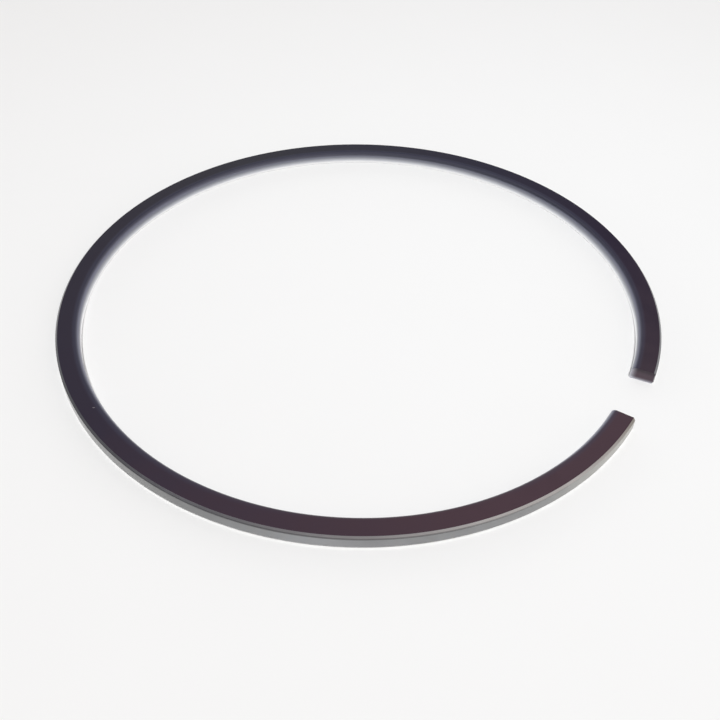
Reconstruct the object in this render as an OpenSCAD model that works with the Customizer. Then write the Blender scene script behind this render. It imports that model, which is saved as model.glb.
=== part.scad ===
// Piston ring: a one-piece split compression ring, lying free on its lower side.
// The end gap is on +X, the back is on -X, and the upper side faces +Z.
// The ring is turned to the open form that springs into a true circle in its bore.

/* [Fit] */
// Diameter of the bore that the ring closes to
bore_d = 86; // [70:0.5:110]
// Gap left between the ends when the ring is closed in its bore
closed_gap = 0.35; // [0.15:0.05:0.8]
// Gap between the ends of the free ring, at the middle of its radial width
free_gap = 9.5; // [5:0.25:13]

/* [Section] */
// Height of the ring along its axis
ring_h = 2; // [1.6:0.05:3]
// Radial width from the inner side to the running face
radial_w = 3.35; // [2.5:0.05:4.5]
// Chamfer on both edges of the running face
edge_chamfer = 0.28; // [0.05:0.01:0.5]
// Radius of the large rounding on the inner upper edge
inner_top_r = 0.8; // [0.3:0.05:1.1]
// Radius of the small rounding on the inner lower edge
inner_bottom_r = 0.1; // [0.05:0.05:0.5]

/* [Ends] */
// Chamfer on the upright outer corner of each end
end_break = 0.12; // [0.05:0.01:0.3]

/* [Hidden] */

// Facets of a full turn along the ring, and of a full circle in its section
sweep_fn = 360;
section_fn = 96;
// How far every cutter reaches past what it cuts
cut_past = 1;
// Passes that settle the free form
passes = 6;

// Each half of the ring is a chain of true arcs from the back to an end. They meet
// where the slope is that of a 3-4-5 triangle or lies along an axis, and their radii
// are whole hundredths, so that each arc's end lies exactly on the next one's start.
low_slope = atan2(3, 4);
high_slope = atan2(4, 3);
joint_headings = [0, low_slope, high_slope, 90, 90 + low_slope, 90 + high_slope];
half_arcs = len(joint_headings);
radius_step = 0.01;

// Radius of the line through the middle of the section, when the ring is closed
mid_r = (bore_d - radial_w) / 2;
// Angle from the back to an end along the closed ring
end_turn = 180 - closed_gap / 2 / mid_r * (180 / PI);

// Even pressure on the bore needs a free curvature of (1 - k * (1 + cos(turn))) / mid_r,
// flattest at the back and full at the ends, where k says how far the ring springs open.
// Its sum is the heading of the middle line, which leaves the back along +Y.
function heading(k, turn) = turn - k * (turn + sin(turn) * (180 / PI));

// Turn along the closed ring at which the free ring has a given heading
function turn_at(k, head, turn, n) =
    n == 0 ? turn : turn_at(k, head, (head + k * sin(turn) * (180 / PI)) / (1 - k), n - 1);

// Headings where the arcs start, with that of the end last, and each arc's radius
function arc_headings(k) = concat(joint_headings, heading(k, end_turn));
function arc_radii(k) =
    let (heads = arc_headings(k), turns = [for (a = heads) turn_at(k, a, a, passes)])
    [for (i = [0 : half_arcs - 1]) mid_r * (turns[i + 1] - turns[i]) / (heads[i + 1] - heads[i])];

// Unit vector from the middle line to the outside of the ring, at a heading
function outward(head) = [-cos(head), sin(head)];

// Centre of arc i in a chain that starts at the origin, and the point where the chain ends
function arc_centre(radii, heads, i) =
    i == 0 ? -radii[0] * outward(heads[0])
           : arc_centre(radii, heads, i - 1) + (radii[i - 1] - radii[i]) * outward(heads[i]);
function chain_end(radii, heads) =
    arc_centre(radii, heads, half_arcs - 1) + radii[half_arcs - 1] * outward(heads[half_arcs]);

// Gap between the ends at a given opening, and the opening that gives the free gap
function gap_at(k) = 2 * chain_end(arc_radii(k), arc_headings(k))[1];
function settle(k, n) =
    n == 0 ? k : settle(k * (free_gap - closed_gap) / (gap_at(k) - closed_gap), n - 1);

opening = settle((free_gap - closed_gap) / (3 * PI * mid_r), passes);
heads = arc_headings(opening);
radii = [for (r = arc_radii(opening)) round(r / radius_step) * radius_step];

// Outer corner of the +Y end, and the middle of the ring's outline along X
end_heading = heads[half_arcs];
end_corner = chain_end(radii, heads) + radial_w / 2 * outward(end_heading);
middle_x = (end_corner[0] - end_break * sin(end_heading) - radial_w / 2) / 2;
// Length of the wedges that cut out the arcs, from an arc's centre to well outside the ring
wedge_l = ceil(2 * bore_d);

// What a rounding of radius r takes off a lower left corner at the origin
module rounding_waste(r) {
    difference() {
        translate([-cut_past, -cut_past]) square(r + cut_past);
        translate([r, r]) circle(r, $fn = section_fn);
    }
}

// What a chamfer takes off an upper right corner at the origin
module chamfer_waste(leg) {
    reach = leg + cut_past;
    polygon([[-reach, cut_past], [cut_past, -reach], [cut_past, cut_past]]);
}

// Cross-section of the ring, with the middle line at x = 0 and the running face at +x
module section() {
    difference() {
        translate([-radial_w / 2, 0]) square([radial_w, ring_h]);
        translate([-radial_w / 2, 0]) rounding_waste(inner_bottom_r);
        translate([-radial_w / 2, ring_h]) mirror([0, 1]) rounding_waste(inner_top_r);
        translate([radial_w / 2, ring_h]) chamfer_waste(edge_chamfer);
        translate([radial_w / 2, 0]) mirror([0, 1]) chamfer_waste(edge_chamfer);
    }
}

// Upright wedge between two headings, with its edge at the origin
module wedge(from_head, to_head) {
    between = (from_head + to_head) / 2;
    translate([0, 0, -cut_past])
        linear_extrude(ring_h + 2 * cut_past)
            polygon([
                [0, 0],
                wedge_l * outward(from_head),
                wedge_l * outward(between),
                wedge_l * outward(to_head)
            ]);
}

// Arc i of the chain
module ring_arc(i) {
    translate(arc_centre(radii, heads, i))
        intersection() {
            rotate_extrude($fn = sweep_fn) translate([radii[i], 0]) section();
            wedge(heads[i], heads[i + 1]);
        }
}

// Half of the ring, from the back to the +Y end, with the end's outer corner broken
module half_ring() {
    difference() {
        union() {
            for (i = [0 : half_arcs - 1]) ring_arc(i);
        }
        translate([end_corner[0], end_corner[1], -cut_past])
            rotate(90 - end_heading)
                linear_extrude(ring_h + 2 * cut_past) chamfer_waste(end_break);
    }
}

module piston_ring() {
    color([0.24, 0.21, 0.24])
        translate([-middle_x, 0, 0]) {
            half_ring();
            mirror([0, 1, 0]) half_ring();
        }
}

piston_ring();
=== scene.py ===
"""Looks of a piston ring: a one-piece split compression ring, lying free on a white floor.

The ring is one mesh, swept along the open form that the free ring springs to. Its sides and
ends carry a dark oxide, its running face and chamfers are ground bare, and down the inner
side the oxide thins away to steel, painted near-white as a painted reflection of the floor.
Painted reflections and painted shade along the ring and on the ends, and a painted falloff
of light on the paper, stand in for how the light falls. Lengths are in millimetres until a
mesh is made.
"""

import logging
import math
from dataclasses import dataclass
from enum import Enum
from typing import Any, NamedTuple

import bmesh
import bpy
import numpy as np
from mathutils import Matrix, Vector

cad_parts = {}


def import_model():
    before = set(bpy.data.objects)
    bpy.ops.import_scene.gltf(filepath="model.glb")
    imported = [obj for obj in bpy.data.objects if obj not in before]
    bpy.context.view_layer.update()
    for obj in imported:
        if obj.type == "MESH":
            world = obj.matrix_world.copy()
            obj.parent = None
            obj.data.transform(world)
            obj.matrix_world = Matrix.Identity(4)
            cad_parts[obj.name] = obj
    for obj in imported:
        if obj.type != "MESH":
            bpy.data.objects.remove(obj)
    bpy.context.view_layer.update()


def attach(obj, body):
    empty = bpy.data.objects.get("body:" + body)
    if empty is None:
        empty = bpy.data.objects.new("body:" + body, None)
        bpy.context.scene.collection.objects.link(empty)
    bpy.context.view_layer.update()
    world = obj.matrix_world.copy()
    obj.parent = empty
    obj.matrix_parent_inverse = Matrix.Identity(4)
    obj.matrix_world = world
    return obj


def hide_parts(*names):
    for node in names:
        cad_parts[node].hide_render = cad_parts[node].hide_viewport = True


log = logging.getLogger("piston_ring")

MM = 0.001
BODY = "root"
NODE = "piston_ring"
RING_PLACE = "ring_place"

Triple = tuple[float, float, float]
Colour = Triple
Stop = tuple[float, Colour]
Span = tuple[float, float]

# Numbers of the sockets of a Mix node that blends colours
MIX_FACTOR, MIX_FIRST, MIX_SECOND, MIX_RESULT = 0, 6, 7, 2


class Surface(Enum):
    """The surfaces of the ring that are finished in their own way, by material slot."""

    SIDE = 0
    UPPER_CHAMFER = 1
    LOWER_CHAMFER = 2
    RUNNING_FACE = 3
    INNER = 4
    END = 5


class Signal:
    """A node's output that can be used in a Python expression."""

    def __init__(self, shader: "Shader", socket: bpy.types.NodeSocket) -> None:
        """Keeps the output and the tree that it is in."""
        self.shader = shader
        self.socket = socket

    def output(self, name: str) -> "Signal":
        """Another output of the same node."""
        return Signal(self.shader, self.socket.node.outputs[name])

    def maths(self, operation: str, *values: "Signal | float") -> "Signal":
        """One Math node on the given values."""
        return self.shader.node("ShaderNodeMath", {"operation": operation}, dict(enumerate(values)))

    def __add__(self, other: "Signal | float") -> "Signal":
        """The sum of the two."""
        return self.maths("ADD", self, other)

    __radd__ = __add__

    def __sub__(self, other: "Signal | float") -> "Signal":
        """This less the other."""
        return self.maths("SUBTRACT", self, other)

    def __rsub__(self, other: float) -> "Signal":
        """The other less this."""
        return self.maths("SUBTRACT", other, self)

    def __mul__(self, other: "Signal | float") -> "Signal":
        """The product of the two."""
        return self.maths("MULTIPLY", self, other)

    __rmul__ = __mul__

    def __truediv__(self, other: "Signal | float") -> "Signal":
        """This over the other."""
        return self.maths("DIVIDE", self, other)

    def __rtruediv__(self, other: float) -> "Signal":
        """The other over this."""
        return self.maths("DIVIDE", other, self)

    def __abs__(self) -> "Signal":
        """This without its sign."""
        return self.maths("ABSOLUTE", self)

    def at_least(self, low: float) -> "Signal":
        """This, or low where this is less."""
        return self.maths("MAXIMUM", self, low)

    def about(self, middle: "Signal | float", spread: float) -> "Signal":
        """A level that strays from its middle, over the spread, as this noise of 0 to 1 does."""
        return middle + spread * (self - 0.5)

    def rise(self, low: float, high: float) -> "Signal":
        """Adds a smooth step, up or down.

        Args:
            low: Where it is 0.
            high: Where it is 1, which may be below low.

        Returns:
            The step's level.
        """
        return self.shader.node(
            "ShaderNodeMapRange",
            {"interpolation_type": "SMOOTHSTEP"},
            {"Value": self, "From Min": low, "From Max": high},
        )


class Place(NamedTuple):
    """A place on the ring, in millimetres: as one vector, and as its three parts."""

    vector: Signal
    along: Signal
    offset: Signal
    height: Signal

    def share(self, ring_l: float) -> Signal:
        """Share of the ring's length, from 0 at the -Y end to 1 at the +Y end."""
        return 0.5 + self.along / ring_l


class Stretch(NamedTuple):
    """A stretch along the ring, with its strength and the lengths over which its ends fade."""

    strength: float
    start: Span
    end: Span

    def on(self, along: Signal) -> Signal:
        """Its strength at a length along the ring."""
        return self.strength * along.rise(*self.start) * along.rise(*self.end)


class Shader:
    """A node tree, and the few ways in which the finishes add nodes to it."""

    def __init__(self, tree: bpy.types.NodeTree) -> None:
        """Starts from an empty tree."""
        self.tree = tree
        self.tree.nodes.clear()

    def node(
        self,
        kind: str,
        settings: dict[str, Any] | None = None,
        inputs: dict[str | int, Any] | None = None,
        output: str | int = 0,
    ) -> Signal:
        """Adds a node.

        Args:
            kind: The node's type.
            settings: Its properties, set before its sockets; "stops" are those of a ramp.
            inputs: Values or signals of its sockets, by name or number.
            output: The output to return.

        Returns:
            The signal of that output.
        """
        node = self.tree.nodes.new(kind)
        for name, value in (settings or {}).items():
            if name == "stops":
                self._set_stops(node.color_ramp, value)
            else:
                setattr(node, name, value)
        for name, value in (inputs or {}).items():
            if isinstance(value, Signal):
                self.tree.links.new(value.socket, node.inputs[name])
            else:
                node.inputs[name].default_value = value
        return Signal(self, node.outputs[output])

    @staticmethod
    def _set_stops(ramp: bpy.types.ColorRamp, stops: tuple[Stop, ...]) -> None:
        """Gives a ramp its stops, in place of the two that it comes with.

        Args:
            ramp: The ramp of a new node.
            stops: Where the stops are, from 0 to 1, with their colours.
        """
        ramp.elements.remove(ramp.elements[1])
        for number, (place, colour) in enumerate(stops):
            element = ramp.elements[0] if number == 0 else ramp.elements.new(place)
            element.position = place
            element.color = (*colour, 1.0)

    def finish(self, kind: str, surface: Signal) -> None:
        """Leads a shader to the tree's output node, of a material's or a world's kind."""
        output = self.tree.nodes.new(kind)
        self.tree.links.new(surface.socket, output.inputs["Surface"])

    def place(self) -> Place:
        """Reads where on the ring a point is.

        Returns:
            Its length along the ring from the back, its offset outward and its height.
        """
        vector = self.node("ShaderNodeAttribute", {"attribute_name": RING_PLACE}, output="Vector")
        along = self.node("ShaderNodeSeparateXYZ", None, {"Vector": vector}, output="X")
        return Place(vector, along, along.output("Y"), along.output("Z"))

    def mix(self, factor: Signal | float, first: Signal | Colour, second: Signal | Colour) -> Signal:
        """Blends two colours.

        Args:
            factor: 0 for the first colour, 1 for the second.
            first: The first colour.
            second: The second colour.

        Returns:
            The blended colour.
        """
        first, second = (c if isinstance(c, Signal) else (*c, 1.0) for c in (first, second))
        return self.node(
            "ShaderNodeMix",
            {"data_type": "RGBA"},
            {MIX_FACTOR: factor, MIX_FIRST: first, MIX_SECOND: second},
            MIX_RESULT,
        )

    def ramp(self, stops: tuple[Stop, ...], share: Signal) -> Signal:
        """The colour at a share of the way along a ramp."""
        return self.node("ShaderNodeValToRGB", {"stops": stops}, {"Fac": share})

    def scaled(self, colour: Signal, level: Signal) -> Signal:
        """A colour made lighter or darker by a level."""
        return self.node(
            "ShaderNodeVectorMath", {"operation": "SCALE"}, {"Vector": colour, "Scale": level}
        )

    def dot(self, first: Signal, second: Vector) -> Signal:
        """The dot product of two vectors."""
        return self.node(
            "ShaderNodeVectorMath", {"operation": "DOT_PRODUCT"}, {0: first, 1: second}, "Value"
        )

    def noise(self, where: Signal, per_mm: Triple, detail: float = 3.0) -> Signal:
        """Adds a noise of about 0 to 1.

        Args:
            where: Where on the ring, in millimetres.
            per_mm: Its features per millimetre along, outward and upward.
            detail: How many finer layers it has.

        Returns:
            The noise's level.
        """
        stretched = self.node(
            "ShaderNodeVectorMath", {"operation": "MULTIPLY"}, {0: where, 1: per_mm}
        )
        return self.node(
            "ShaderNodeTexNoise", None, {"Vector": stretched, "Scale": 1.0, "Detail": detail}
        )

    def relief(self, height: Signal, depth: float) -> Signal:
        """A normal roughened by a height of 0 to 1, which stands for a depth in millimetres."""
        return self.node("ShaderNodeBump", None, {"Height": height, "Distance": depth * MM})

    def principled(self, **inputs: Any) -> Signal:
        """A Principled shader with these sockets, written with _ for each space."""
        named = {name.replace("_", " "): value for name, value in inputs.items()}
        return self.node("ShaderNodeBsdfPrincipled", None, named)


class Finish:
    """A finish, which makes one material."""

    name: str

    def material(self) -> bpy.types.Material:
        """Makes the material of this finish.

        Returns:
            The material.
        """
        material = bpy.data.materials.new(self.name)
        material.use_nodes = True
        shader = Shader(material.node_tree)
        shader.finish("ShaderNodeOutputMaterial", self.surface(shader))
        return material

    def surface(self, shader: Shader) -> Signal:
        """Adds the finish's own nodes to a tree and returns their shader."""
        raise NotImplementedError


class Corner(NamedTuple):
    """A corner of the section: its place and rounding, and the surfaces in it and after it."""

    offset: float
    height: float
    radius: float
    steps: int
    rounding: Surface
    onward: Surface


@dataclass(frozen=True)
class Section:
    """Cross-section of the ring, with the middle line at offset 0 and the running face at +."""

    height: float = 2.0
    width: float = 3.35
    chamfer: float = 0.28
    inner_top_r: float = 0.8
    inner_bottom_r: float = 0.1
    edge_r: float = 0.03
    hold: float = 0.03
    inner_top_steps: int = 16
    inner_bottom_steps: int = 8
    edge_steps: int = 3

    @property
    def inner(self) -> float:
        """Offset of the inner side."""
        return -self.width / 2

    @property
    def flat(self) -> float:
        """Offset at which the upper side stops being flat."""
        return self.inner + self.inner_top_r

    @property
    def face_edge(self) -> float:
        """Height of the running face's upper edge."""
        return self.height - self.chamfer

    def corners(self) -> list[Corner]:
        """Lists the corners of the section.

        Returns:
            The corners in order, from the inner lower one along the lower side.
        """
        face = self.width / 2
        inner_bottom = (self.inner_bottom_r, self.inner_bottom_steps, Surface.INNER)
        inner_top = (self.inner_top_r, self.inner_top_steps, Surface.INNER)
        lower = (self.edge_r, self.edge_steps, Surface.LOWER_CHAMFER)
        upper = (self.edge_r, self.edge_steps, Surface.UPPER_CHAMFER)
        return [
            Corner(self.inner, 0.0, *inner_bottom, Surface.SIDE),
            Corner(face - self.chamfer, 0.0, *lower, Surface.LOWER_CHAMFER),
            Corner(face, self.chamfer, *lower, Surface.RUNNING_FACE),
            Corner(face, self.face_edge, *upper, Surface.UPPER_CHAMFER),
            Corner(face - self.chamfer, self.height, *upper, Surface.SIDE),
            Corner(self.inner, self.height, *inner_top, Surface.INNER),
        ]

    def outline(self) -> tuple[np.ndarray, np.ndarray, list[Surface]]:
        """Rounds the corners, with a point beside each rounding that holds the flats flat.

        Returns:
            The points as offset and height, their outward directions, and the surface that
            starts at each point.
        """
        corners = self.corners()
        points, outward, surfaces = [], [], []
        for number, corner in enumerate(corners):
            before, after = corners[number - 1], corners[(number + 1) % len(corners)]
            here = np.array(corner[:2])
            way_in = self._direction(before, corner)
            way_out = self._direction(corner, after)
            turn = math.acos(way_in @ way_out)
            cut = corner.radius * math.tan(turn / 2)
            start = math.atan2(-way_in[0], way_in[1])
            angles = start + np.linspace(0.0, turn, corner.steps + 1)
            sides = np.column_stack([np.cos(angles), np.sin(angles)])
            centre = here - cut * way_in - corner.radius * sides[0]
            points += [here - (cut + self.hold) * way_in]
            points += [centre + corner.radius * side for side in sides]
            points += [here + (cut + self.hold) * way_out]
            outward += [sides[0], *sides, sides[-1]]
            surfaces += [before.onward, *[corner.rounding] * corner.steps, *[corner.onward] * 2]
        return np.array(points), np.array(outward), surfaces

    @staticmethod
    def _direction(start: Corner, end: Corner) -> np.ndarray:
        """Unit vector from one corner to another."""
        way = np.subtract(end[:2], start[:2])
        return way / np.linalg.norm(way)


@dataclass(frozen=True)
class OxideTint:
    """Colour of the oxide, which drifts along the ring and thins towards the inner side. The
    drift is partly the oxide's own tint and partly painted light and shade: its lighter,
    warmer stretches and its darker, bluer ones follow how the light falls round the ring.

    Its stops and the spans along the ring are shares of the ring's length from the -Y end.
    Across the ring, it thins over millimetres outward of where the upper side stops being flat.
    """

    stops: tuple[Stop, ...]
    section: Section
    ring_l: float
    thin: Colour = (0.055, 0.056, 0.086)
    thin_main: float = 0.5
    thin_main_from: Span = (0.15, 0.32)
    thin_end: float = 0.4
    thin_end_from: Span = (0.12, 0.02)
    thin_across: Span = (0.45, -0.1)
    cloud_per_mm: Triple = (0.35, 0.35, 0.35)
    wander: float = 0.06
    mottle: float = 0.14

    def colour(self, shader: Shader, place: Place) -> Signal:
        """Adds the drift along the ring, partly painted light and shade, a soft mottling and the
        thinner part.

        Args:
            shader: The tree to add to.
            place: Where on the ring.

        Returns:
            The oxide's colour.
        """
        cloud = shader.noise(place.vector, self.cloud_per_mm)
        share = cloud.about(place.share(self.ring_l), self.wander)
        main = self.thin_main * share.rise(*self.thin_main_from)
        end = self.thin_end * share.rise(*self.thin_end_from)
        thinned = (main + end) * (place.offset - self.section.flat).rise(*self.thin_across)
        colour = shader.mix(thinned, shader.ramp(self.stops, share), self.thin)
        return shader.scaled(colour, cloud.about(1.0, self.mottle))


@dataclass(frozen=True)
class OxideFinish(Finish):
    """Dark oxide on lapped steel, with one small nick in it."""

    name: str
    tint: OxideTint
    roughness: float = 0.42
    specular: float = 0.15
    grain_per_mm: Triple = (8.0, 8.0, 8.0)
    grain_shade: float = 0.14
    grain_gloss: float = 0.14
    grain_depth: float = 0.0012
    # The nick's bare steel.
    bare_steel_and_painted_reflection: Colour = (0.21, 0.19, 0.21)
    nick_along: float = -47.17
    nick_offset: float = -0.42
    nick_turn: float = 56.0
    nick_length: float = 0.34
    nick_width: float = 0.13
    nick_edge: Span = (1.4, 0.5)

    def surface(self, shader: Shader) -> Signal:
        """Adds the oxide's colour, its lapped grain and the bare nick.

        Args:
            shader: The tree to add to.

        Returns:
            The finished shader.
        """
        place = shader.place()
        grain = shader.noise(place.vector, self.grain_per_mm)
        oxide = self.tint.colour(shader, place)
        colour = shader.scaled(oxide, grain.about(1.0, self.grain_shade))
        return shader.principled(
            Base_Color=shader.mix(self._nick(place), colour, self.bare_steel_and_painted_reflection),
            Roughness=grain.about(self.roughness, self.grain_gloss),
            Specular_IOR_Level=self.specular,
            Normal=shader.relief(grain, self.grain_depth),
        )

    def _nick(self, place: Place) -> Signal:
        """Adds the mask of the nick, a small turned oval.

        Args:
            place: Where on the ring.

        Returns:
            The mask: 1 inside the nick and 0 outside it.
        """
        turn = math.radians(self.nick_turn)
        along, outward = place.along - self.nick_along, place.offset - self.nick_offset
        length = (math.cos(turn) * along + math.sin(turn) * outward) / (self.nick_length / 2)
        width = (math.cos(turn) * outward - math.sin(turn) * along) / (self.nick_width / 2)
        return (length * length + width * width).rise(*self.nick_edge)


@dataclass(frozen=True)
class GroundFinish(Finish):
    """Steel ground along the ring, with fine lines, an uneven sheen and a dark edge line.

    Its stops, and the span over which the dark line starts, are shares of the ring's length
    from the -Y end. The stops paint reflections into the steel's colour, lighter and darker
    along the ring where the light falls differently.
    """

    name: str
    stops: tuple[Stop, ...]
    section: Section
    ring_l: float
    roughness: float
    line_depth: float
    edge_level: float
    shade: float = 0.2
    lines_per_mm: Triple = (0.25, 14.0, 14.0)
    line_gloss: float = 0.14
    bands_per_mm: Triple = (0.33, 0.2, 0.2)
    band_gloss: float = 0.08
    edge_width: float = 0.1
    edge_core: float = 0.3
    edge_from: Span = (0.02, 0.12)
    oil: float = 0.0
    oil_roughness: float = 0.3

    def surface(self, shader: Shader) -> Signal:
        """Adds the grinding lines, the uneven sheen, the painted reflections along the ring and
        the dark line along the upper edge.

        Args:
            shader: The tree to add to.

        Returns:
            The finished shader.
        """
        place = shader.place()
        lines = shader.noise(place.vector, self.lines_per_mm)
        bands = shader.noise(place.vector, self.bands_per_mm)
        share = place.share(self.ring_l)
        from_edge = abs(place.height - self.section.face_edge)
        line = from_edge.rise(self.edge_width, self.edge_core * self.edge_width)
        dark = (1.0 - self.edge_level) * line * share.rise(*self.edge_from)
        level = lines.about(bands.about(1.0, self.shade), self.shade / 2) * (1.0 - dark)
        return shader.principled(
            # The ramp along the ring paints reflections into the steel's colour.
            Base_Color=shader.scaled(shader.ramp(self.stops, share), level),
            Metallic=1.0,
            Roughness=lines.about(bands.about(self.roughness, self.band_gloss), self.line_gloss),
            Coat_Weight=self.oil,
            Coat_Roughness=self.oil_roughness,
            Normal=shader.relief(lines, self.line_depth),
        )


@dataclass(frozen=True)
class InnerFinish(Finish):
    """The oiled inner side, where the oxide thins over the rounding to turned steel, painted
    near-white towards the foot as a painted reflection of the white floor.

    Its stops and the spans named over are shares of the way round the inner side from the
    upper side to the lower one. The other spans and the stretches are lengths along the ring
    from the back.
    """

    name: str
    tint: OxideTint
    stops: tuple[Stop, ...]
    section: Section
    cloud_per_mm: Triple = (0.5, 0.5, 0.5)
    uneven: float = 0.03
    lines_per_mm: Triple = (0.3, 11.0, 11.0)
    line_shade: float = 0.1
    line_gloss: float = 0.08
    line_depth: float = 0.0008
    # Painted reflection: near the ends the fade runs on faster, so the rounding there is lighter.
    painted_glint_ends: float = 0.45
    painted_glint_ends_from: Span = (110.0, 128.0)
    # Painted light: over this stretch the fade runs on faster, lifting the shade at the wall's foot.
    painted_lift_side: Stretch = Stretch(0.2, (-47.0, -41.0), (-20.0, -29.0))
    # Over these two stretches the fade is pushed back towards the oxide, darker.
    darker_front: Stretch = Stretch(0.085, (-124.0, -114.0), (-44.0, -57.0))
    darker_back: Stretch = Stretch(0.03, (-21.0, -14.0), (32.0, 4.0))
    bare_over: Span = (0.04, 0.32)
    metal_over: Span = (0.03, 0.28)
    roughness: float = 0.42
    sheen: float = 0.06
    sheen_over: Span = (0.0, 0.4)
    specular: float = 0.15
    oil_over: Span = (0.02, 0.3)
    oil_roughness: float = 0.3

    def surface(self, shader: Shader) -> Signal:
        """Adds the fade from oxide to steel down the inner side, with its painted reflection and
        painted lift, and its turned lines.

        Args:
            shader: The tree to add to.

        Returns:
            The finished shader.
        """
        place = shader.place()
        cloud = shader.noise(place.vector, self.cloud_per_mm)
        lines = shader.noise(place.vector, self.lines_per_mm)
        inward = self.section.flat - place.offset
        down = self.section.height - place.height
        reach = self.section.inner_top_r + self.section.height
        # The fade's rate, raised as painted reflection near the ends and as painted lift on one
        # side.
        fade_rate_with_painted_lift = 1.0 + self.painted_glint_ends * abs(place.along).rise(*self.painted_glint_ends_from)
        fade_rate_with_painted_lift = fade_rate_with_painted_lift + self.painted_lift_side.on(place.along)
        pushed_darker = self.darker_front.on(place.along) + self.darker_back.on(place.along)
        fade = cloud.about(fade_rate_with_painted_lift * (inward + down) / reach - pushed_darker, self.uneven)
        oxide, steel = self.tint.colour(shader, place), shader.ramp(self.stops, fade)
        colour = shader.mix(fade.rise(*self.bare_over), oxide, steel)
        roughness = self.roughness - self.sheen * fade.rise(*self.sheen_over)
        return shader.principled(
            Base_Color=shader.scaled(colour, lines.about(1.0, self.line_shade)),
            Metallic=fade.rise(*self.metal_over),
            Roughness=lines.about(roughness, self.line_gloss),
            Specular_IOR_Level=self.specular,
            Coat_Weight=fade.rise(*self.oil_over),
            Coat_Roughness=self.oil_roughness,
            Normal=shader.relief(lines, self.line_depth),
        )


@dataclass(frozen=True)
class EndFinish(Finish):
    """Oxide on a cut end, with painted shade at its upper edge and a painted reflection of the
    floor at its inner and lower ones.
    """

    name: str
    section: Section
    oxide: Colour = (0.071, 0.045, 0.061)
    # Painted shade at the upper edge; painted reflection of the floor at the inner and lower edges.
    dark: Colour = (0.03, 0.019, 0.028)
    bare_steel_and_painted_reflection: Colour = (0.54, 0.54, 0.6)
    inner_reflection_reach: float = 0.98
    lower_reflection_reach: float = 0.62
    painted_shade_from: Span = (0.5, 1.0)
    grain_per_mm: Triple = (6.0, 6.0, 6.0)
    grain_shade: float = 0.14
    grain_gloss: float = 0.14
    grain_depth: float = 0.001
    roughness: float = 0.42
    specular: float = 0.4

    def surface(self, shader: Shader) -> Signal:
        """Adds the oxide, the painted shade at its upper edge and the painted reflection at its
        inner and lower edges.

        Args:
            shader: The tree to add to.

        Returns:
            The finished shader.
        """
        place = shader.place()
        grain = shader.noise(place.vector, self.grain_per_mm)
        # Masks of the painted reflection at the inner and lower edges and of the painted shade at
        # the upper edge.
        inner = (1.0 - (place.offset - self.section.inner) / self.inner_reflection_reach).at_least(0.0)
        lower = (1.0 - place.height / self.lower_reflection_reach).at_least(0.0)
        upper = (place.height / self.section.height).rise(*self.painted_shade_from)
        colour = shader.mix(upper, self.oxide, self.dark)
        colour = shader.mix(inner * inner + lower * lower, colour, self.bare_steel_and_painted_reflection)
        return shader.principled(
            Base_Color=shader.scaled(colour, grain.about(1.0, self.grain_shade)),
            Roughness=grain.about(self.roughness, self.grain_gloss),
            Specular_IOR_Level=self.specular,
            Normal=shader.relief(grain, self.grain_depth),
        )


@dataclass(frozen=True)
class PaperFinish(Finish):
    """Matt white paper under a painted pool of light: brightest round a middle point, and
    painted a little darker and warmer further out.
    """

    name: str = "white_paper"
    # The paper where the painted pool of light is brightest, and where its painted falloff ends.
    clear: Colour = (0.937, 0.94, 0.935)
    painted_dim_paper: Colour = (0.858, 0.85, 0.84)
    # Centre and reach of the painted pool of light, in millimetres.
    middle: Triple = (25.0, 42.0, 0.0)
    reach: float = 200.0
    tone_per_mm: float = 0.06
    tone_detail: float = 4.0
    uneven: float = 0.013
    roughness: float = 0.9
    specular: float = 0.1

    def surface(self, shader: Shader) -> Signal:
        """Adds the painted falloff of light over the paper, and a faint unevenness in its tone.

        Args:
            shader: The tree to add to.

        Returns:
            The finished shader.
        """
        where = shader.node("ShaderNodeTexCoord", output="Object")
        tone = shader.node(
            "ShaderNodeTexNoise",
            None,
            {"Vector": where, "Scale": self.tone_per_mm / MM, "Detail": self.tone_detail},
        )
        away = shader.node(
            "ShaderNodeVectorMath",
            {"operation": "DISTANCE"},
            {0: where, 1: Vector(self.middle) * MM},
            "Value",
        )
        # Painted falloff of light: the paper darkens and warms with distance from the middle.
        colour = shader.mix(away.rise(0.0, self.reach * MM), self.clear, self.painted_dim_paper)
        return shader.principled(
            Base_Color=shader.scaled(colour, tone.about(1.0, self.uneven)),
            Roughness=self.roughness,
            Specular_IOR_Level=self.specular,
        )


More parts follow.
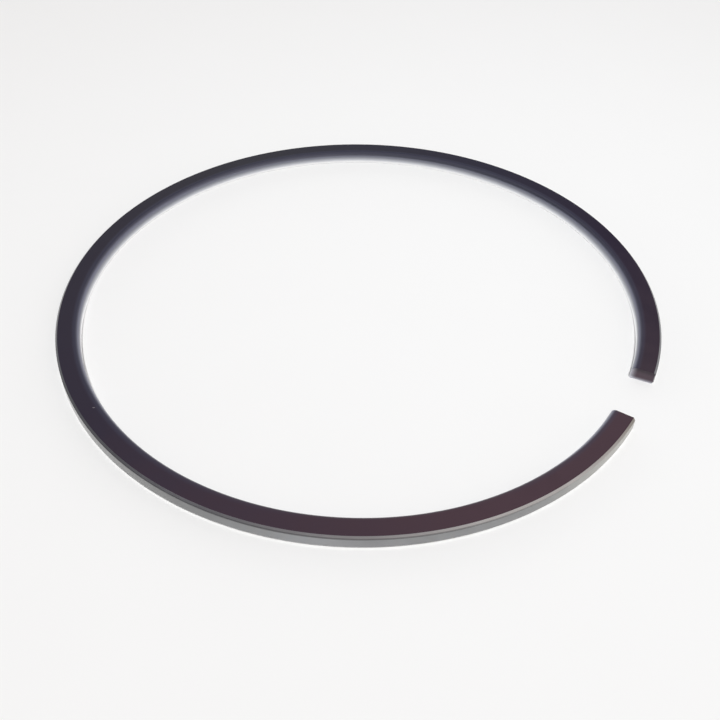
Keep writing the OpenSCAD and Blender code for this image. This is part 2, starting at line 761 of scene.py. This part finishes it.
@dataclass(frozen=True)
class FreeForm:
    """The open form that springs into a true circle, with even pressure, in the bore."""

    bore_d: float = 86.0
    closed_gap: float = 0.35
    free_gap: float = 9.5
    steps: int = 360
    passes: int = 6

    def length(self, width: float) -> float:
        """Length of the middle line of a ring of a radial width, from end to end."""
        return math.pi * (self.bore_d - width) - self.closed_gap

    def middle_line(
        self, width: float, from_end: tuple[float, ...]
    ) -> tuple[np.ndarray, np.ndarray, np.ndarray]:
        """Works out the middle line from the -Y end round the back to the +Y end.

        Args:
            width: Radial width of the ring.
            from_end: Lengths from each end at which there are points too, longest first.

        Returns:
            The lengths along the line from the back, its points, and its outward directions.
        """
        mid_r = (self.bore_d - width) / 2
        near_end = math.pi - (self.closed_gap / 2 + np.array([*from_end, 0.0])) / mid_r
        turns = np.concatenate([np.linspace(0.0, near_end[0], self.steps + 1), near_end[1:]])
        opening = (self.free_gap - self.closed_gap) / (3 * math.pi * mid_r)
        for _ in range(self.passes):
            gap = 2 * mid_r * self._half(opening, turns)[-1, 1]
            opening *= (self.free_gap - self.closed_gap) / (gap - self.closed_gap)
        half = mid_r * self._half(opening, turns)
        heading = self._heading(opening, turns)
        outward = np.column_stack([-np.cos(heading), np.sin(heading)])
        mirror = np.array([1.0, -1.0])
        return (
            mid_r * np.concatenate([-turns[:0:-1], turns]),
            np.concatenate([half[:0:-1] * mirror, half]),
            np.concatenate([outward[:0:-1] * mirror, outward]),
        )

    @staticmethod
    def _heading(opening: float, turn: np.ndarray) -> np.ndarray:
        """Heading of the middle line, which bends least at the back and fully at the ends."""
        return turn - opening * (turn + np.sin(turn))

    def _half(self, opening: float, turns: np.ndarray) -> np.ndarray:
        """Sums the headings at each step's start, middle and end into half of the middle line.

        Args:
            opening: How far the ring springs open.
            turns: Angles along the closed ring, from the back.

        Returns:
            The points for a middle radius of 1, from the back at the origin.
        """
        first, last = turns[:-1], turns[1:]
        start, middle, end = (
            self._heading(opening, turn) for turn in (first, (first + last) / 2, last)
        )
        steps = [
            (way(start) + 4 * way(middle) + way(end)) / 6 * (last - first)
            for way in (np.sin, np.cos)
        ]
        return np.concatenate([np.zeros((1, 2)), np.cumsum(np.column_stack(steps), axis=0)])


# Stops of the oxide's drift along the ring: partly its own tint, partly painted light and shade.
BROWN: Colour = (0.066, 0.039, 0.05)
VIOLET: Colour = (0.031, 0.0245, 0.0395)
DUSK: Colour = (0.026, 0.0225, 0.0345)
SLATE: Colour = (0.028, 0.0268, 0.0355)
INDIGO: Colour = (0.0165, 0.0142, 0.0315)
INK: Colour = (0.016, 0.0095, 0.0258)
RUSSET: Colour = (0.043, 0.029, 0.041)
SECTION = Section()
FORM = FreeForm()
RING_L = FORM.length(SECTION.width)
SIDE_TINT = OxideTint(
    (
        (0.11, BROWN),
        (0.31, VIOLET),
        (0.46, DUSK),
        (0.6, SLATE),
        (0.77, INDIGO),
        (0.88, INK),
        (1.0, RUSSET),
    ),
    SECTION,
    RING_L,
)


@dataclass
class PistonRing:
    """The ring: one solid, swept along its free form and cut square at both ends."""

    section: Section = SECTION
    form: FreeForm = FORM
    end_break: float = 0.12
    end_edge: float = 0.015
    side: Finish = OxideFinish("lapped_oxide", SIDE_TINT)
    upper_chamfer: Finish = GroundFinish(
        "upper_chamfer",
        # The chamfer's steel with painted reflections: a bright painted highlight near the -Y end,
        # darker further round.
        (
            (0.0, (0.325, 0.29, 0.258)),
            (0.05, (0.71, 0.68, 0.665)),
            (0.105, (0.81, 0.79, 0.79)),
            (0.15, (0.63, 0.61, 0.62)),
            (0.25, (0.46, 0.445, 0.47)),
            (0.285, (0.2, 0.195, 0.21)),
            (0.32, (0.11, 0.11, 0.12)),
            (0.36, (0.13, 0.13, 0.14)),
            (0.42, (0.26, 0.26, 0.27)),
        ),
        SECTION,
        RING_L,
        roughness=0.34,
        line_depth=0.0006,
        edge_level=0.5,
    )
    lower_chamfer: Finish = GroundFinish(
        "lower_chamfer",
        # Near-white, far lighter than ground steel: painted light that throws light into the shaded
        # strip of floor under the chamfer.
        ((0.0, (0.95, 0.95, 0.95)),),
        SECTION,
        RING_L,
        roughness=0.34,
        line_depth=0.0006,
        edge_level=1.0,
    )
    running_face: Finish = GroundFinish(
        "running_face",
        # The running face's steel with painted reflections: lighter near the -Y end and in a band
        # further round.
        (
            (0.0, (0.385, 0.37, 0.325)),
            (0.035, (0.42, 0.412, 0.385)),
            (0.07, (0.27, 0.271, 0.274)),
            (0.15, (0.285, 0.288, 0.296)),
            (0.18, (0.325, 0.329, 0.341)),
            (0.24, (0.228, 0.228, 0.231)),
            (0.31, (0.29, 0.29, 0.291)),
            (0.35, (0.55, 0.55, 0.55)),
            (0.42, (0.33, 0.33, 0.335)),
        ),
        SECTION,
        RING_L,
        roughness=0.4,
        line_depth=0.001,
        edge_level=0.42,
        edge_width=0.2,
        shade=0.36,
        oil=0.6,
    )
    inner: Finish = InnerFinish(
        "turned_inner",
        SIDE_TINT,
        (
            # Oxide-dark steel at the top, then painted near-white towards the foot as a painted
            # reflection of the floor.
            (0.0, (0.1, 0.1, 0.14)),
            (0.1, (0.13, 0.13, 0.18)),
            (0.3, (0.172, 0.173, 0.245)),
            (0.55, (0.19, 0.196, 0.245)),
            (0.63, (0.27, 0.275, 0.315)),
            (0.78, (0.58, 0.59, 0.64)),
            (0.9, (0.98, 0.98, 0.985)),
        ),
        SECTION,
    )
    end: Finish = EndFinish("end_oxide", SECTION)

    def sweep(self) -> tuple[np.ndarray, np.ndarray, list[Surface]]:
        """Sweeps the section along the free form, and breaks and rounds its ends.

        Returns:
            The points in one row for each place along the ring, where on the ring they are,
            and the surface that starts at each point of a row.
        """
        outline, outward, surfaces = self.section.outline()
        from_end = (self.end_break + self.section.hold, self.end_break, self.end_edge)
        along, middle, away = self.form.middle_line(self.section.width, from_end)
        rows = np.empty((len(along), len(outline), 3))
        places = np.empty_like(rows)
        for number, length in enumerate(along):
            cut = outline.copy()
            to_end = along[-1] - abs(length)
            if to_end < self.end_edge / 2:
                cut -= self.end_edge * outward
            limit = self.section.width / 2 - max(0.0, self.end_break - to_end)
            cut[:, 0] = np.minimum(cut[:, 0], limit)
            rows[number, :, :2] = middle[number] + cut[:, :1] * away[number]
            rows[number, :, 2] = cut[:, 1]
            places[number] = np.column_stack([np.full(len(cut), length), cut])
        rows[:, :, 0] -= (rows[:, :, 0].min() + rows[:, :, 0].max()) / 2
        return rows, places, surfaces

    def build(self) -> bpy.types.Object:
        """Makes the ring's mesh.

        Returns:
            The ring's object, in the part's frame.
        """
        rows, places, surfaces = self.sweep()
        points = np.arange(rows.shape[0] * rows.shape[1]).reshape(rows.shape[:2])
        following = np.roll(points, -1, axis=1)
        strips = np.stack([points[:-1], following[:-1], following[1:], points[1:]], axis=-1)
        faces = [*strips.reshape(-1, 4).tolist(), points[0, ::-1].tolist(), points[-1].tolist()]
        slots = [surface.value for surface in surfaces] * (len(rows) - 1)
        mesh = bpy.data.meshes.new(NODE)
        mesh.from_pydata((rows * MM).reshape(-1, 3), [], faces)
        mesh.polygons.foreach_set("material_index", slots + [Surface.END.value] * 2)
        mesh.polygons.foreach_set("use_smooth", [True] * len(slots) + [False] * 2)
        place = mesh.attributes.new(RING_PLACE, "FLOAT_VECTOR", "POINT")
        place.data.foreach_set("vector", places.ravel())
        mesh.update()
        ring = bpy.data.objects.new(NODE + "_dressed", mesh)
        bpy.context.scene.collection.objects.link(ring)
        return ring

    def dress(self, ring: bpy.types.Object) -> None:
        """Gives the ring the finish of each of its surfaces.

        Args:
            ring: The ring's object.
        """
        finishes = {
            Surface.SIDE: self.side,
            Surface.UPPER_CHAMFER: self.upper_chamfer,
            Surface.LOWER_CHAMFER: self.lower_chamfer,
            Surface.RUNNING_FACE: self.running_face,
            Surface.INNER: self.inner,
            Surface.END: self.end,
        }
        for surface in Surface:
            ring.data.materials.append(finishes[surface].material())

    def fit(self, ring: bpy.types.Object) -> None:
        """Lets the ring stand for its CAD node and ride on its body.

        Args:
            ring: The ring's object.
        """
        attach(ring, BODY)
        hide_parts(NODE)


def towards(azimuth: float, elevation: float) -> Vector:
    """Unit vector from the ring to a place round it.

    Args:
        azimuth: Degrees from -Y towards +X.
        elevation: Degrees above the floor.

    Returns:
        The direction in the part's frame.
    """
    angle, rise = math.radians(azimuth), math.radians(elevation)
    flat = math.cos(rise)
    return Vector((math.sin(angle) * flat, -math.cos(angle) * flat, math.sin(rise)))


@dataclass
class PhotoCamera:
    """The camera, where the photograph was taken from."""

    azimuth: float = 27.478
    elevation: float = 42.532
    roll: float = 1.405
    distance: float = 134.194
    aim: Triple = (6.111, -10.827, 0.0)
    focal_pixels: float = 947.841
    frame_pixels: float = 720.0
    sensor: float = 36.0
    nearest: float = 10.0

    def build(self) -> bpy.types.Object:
        """Makes the camera and looks through it.

        Returns:
            The camera's object.
        """
        lens = bpy.data.cameras.new("photo_camera")
        lens.sensor_width = self.sensor
        lens.lens = self.focal_pixels / self.frame_pixels * self.sensor
        lens.clip_start = self.nearest * MM
        back = towards(self.azimuth, self.elevation)
        level = (-back).to_track_quat("-Z", "Y").to_matrix()
        rolled = level @ Matrix.Rotation(math.radians(self.roll), 3, "Z")
        camera = bpy.data.objects.new("photo_camera", lens)
        camera.location = (Vector(self.aim) + back * self.distance) * MM
        camera.rotation_euler = rolled.to_euler()
        bpy.context.scene.collection.objects.link(camera)
        bpy.context.scene.camera = camera
        return camera


@dataclass
class Studio:
    """A white floor under one lamp, in a room that is brighter on the camera's right."""

    facing: float = PhotoCamera.azimuth
    floor_r: float = 1500.0
    floor_sides: int = 96
    floor_gap: float = 0.01
    paper: PaperFinish = PaperFinish()
    lamp_turn: float = 0.0
    lamp_elevation: float = 67.0
    lamp_distance: float = 2400.0
    lamp_size: float = 300.0
    lamp_power: float = 40.4
    window_turn: float = 65.0
    window_elevation: float = 25.0
    dim: Colour = (0.11, 0.115, 0.13)
    bright: Colour = (0.52, 0.5, 0.485)
    overhead: Colour = (0.34, 0.34, 0.35)
    overhead_from: Span = (0.55, 0.95)
    pale: Colour = (0.86, 0.86, 0.87)
    pale_below: Span = (0.4, 0.15)
    pale_lift: float = 0.2

    def direction(self, turn: float, elevation: float) -> Vector:
        """Unit vector towards a place in the studio.

        Args:
            turn: Degrees from the camera's side of the ring towards the camera's right.
            elevation: Degrees above the floor.

        Returns:
            The direction in the part's frame.
        """
        return towards(self.facing + turn, elevation)

    def build_floor(self) -> bpy.types.Object:
        """Makes the floor, just under the ring.

        Returns:
            The floor's object.
        """
        shape = bmesh.new()
        bmesh.ops.create_circle(
            shape, cap_ends=True, segments=self.floor_sides, radius=self.floor_r * MM
        )
        mesh = bpy.data.meshes.new("floor")
        shape.to_mesh(mesh)
        shape.free()
        mesh.materials.append(self.paper.material())
        floor = bpy.data.objects.new("floor", mesh)
        floor.location.z = -self.floor_gap * MM
        bpy.context.scene.collection.objects.link(floor)
        return floor

    def build_lamp(self) -> bpy.types.Object:
        """Makes the lamp, which the ring's gloss doesn't show.

        Returns:
            The lamp's object.
        """
        light = bpy.data.lights.new("soft_lamp", "AREA")
        light.shape = "DISK"
        light.size = self.lamp_size * MM
        light.energy = self.lamp_power
        lamp = bpy.data.objects.new("soft_lamp", light)
        away = self.direction(self.lamp_turn, self.lamp_elevation)
        lamp.location = away * self.lamp_distance * MM
        lamp.rotation_euler = (-away).to_track_quat("-Z", "Y").to_euler()
        lamp.visible_glossy = False
        bpy.context.scene.collection.objects.link(lamp)
        return lamp

    def light_room(self) -> bpy.types.World:
        """Lights the room: pale low down and higher at the back, and brighter on the right.

        Returns:
            The world.
        """
        world = bpy.data.worlds.new("studio")
        world.use_nodes = True
        shader = Shader(world.node_tree)
        way = shader.node("ShaderNodeTexCoord", output="Generated")
        up = shader.node("ShaderNodeSeparateXYZ", None, {"Vector": way}, output="Z")
        to_window = self.direction(self.window_turn, self.window_elevation)
        window = 0.5 + 0.5 * shader.dot(way, to_window)
        back = shader.dot(way, self.direction(180.0, 0.0))
        colour = shader.mix(window * window, self.dim, self.bright)
        colour = shader.mix(up.rise(*self.overhead_from), colour, self.overhead)
        low = (up - self.pale_lift * back).rise(*self.pale_below)
        colour = shader.mix(low, colour, self.pale)
        light = shader.node("ShaderNodeBackground", None, {"Color": colour})
        shader.finish("ShaderNodeOutputWorld", light)
        bpy.context.scene.world = world
        return world


def main() -> None:
    """Builds the ring, the studio and the camera."""
    logging.basicConfig(level=logging.INFO, format="%(name)s: %(message)s")
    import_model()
    bpy.context.scene.view_settings.view_transform = "Standard"

    design = PistonRing()
    ring = design.build()
    design.dress(ring)
    design.fit(ring)
    log.info("%s has %d faces", ring.name, len(ring.data.polygons))

    studio = Studio()
    log.info("%s is laid", studio.build_floor().name)
    log.info("%s is hung", studio.build_lamp().name)
    log.info("%s is lit", studio.light_room().name)
    log.info("%s is set", PhotoCamera().build().name)

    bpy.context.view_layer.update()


if __name__ == "__main__":
    main()
